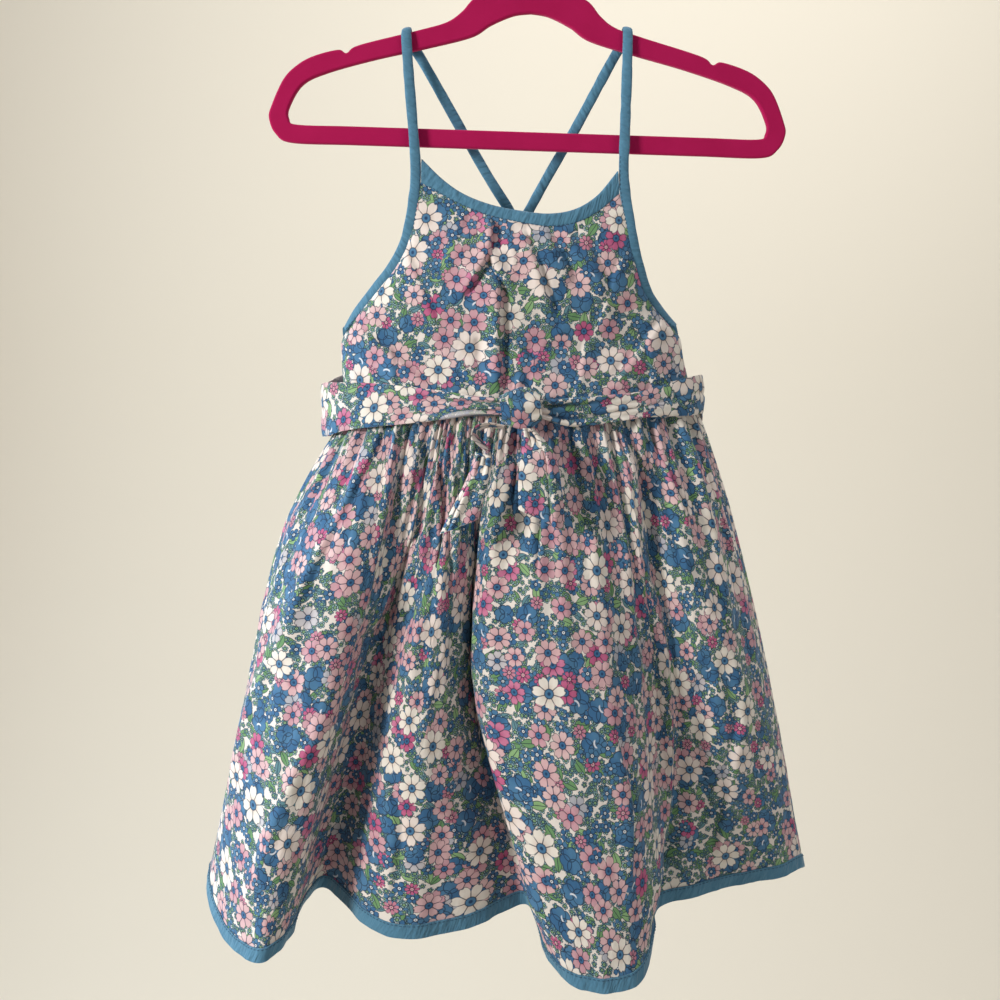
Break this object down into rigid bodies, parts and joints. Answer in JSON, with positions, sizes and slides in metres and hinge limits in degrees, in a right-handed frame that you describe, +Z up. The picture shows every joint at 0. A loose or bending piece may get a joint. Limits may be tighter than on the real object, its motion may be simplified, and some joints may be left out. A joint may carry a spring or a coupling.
{
  "type": "toddler sundress on a hanger",
  "caption": "Sleeveless toddler sundress in floral cotton with blue bound edges, crossed rouleau straps and a tied sash, gathered full skirt, hanging on a flat flocked hanger.",
  "frame": {"origin": "inside top of the hook, where a rail carries it", "axes": "+X to the viewer's right, -Y towards the viewer at the front, +Z up"},
  "size_m": [0.4516, 0.2189, 0.7266],
  "materials": {
    "floral_cotton": "fine printed cotton, small flowers",
    "blue_binding": "plain blue cotton bias binding",
    "flocked_hanger": "flocked, velvet-like",
    "hook_steel": "bright wire"
  },
  "bodies": {
    "root": {"hanger_frame": "flocked_hanger", "hanger_hook": "hook_steel", "skirt_front": "floral_cotton", "skirt_back": "floral_cotton", "bodice_front": "floral_cotton", "bodice_back": "floral_cotton", "sash_left": "floral_cotton", "sash_back": "floral_cotton", "sash_right": "floral_cotton", "sash_knot": "floral_cotton", "sash_loop": "floral_cotton", "sash_tail_left": "floral_cotton", "sash_tail_right": "floral_cotton", "hem_binding_front": "blue_binding", "hem_binding_back": "blue_binding", "neck_binding": "blue_binding", "back_binding": "blue_binding", "strap_left": "blue_binding", "strap_right": "blue_binding"}
  },
  "joints": []
}
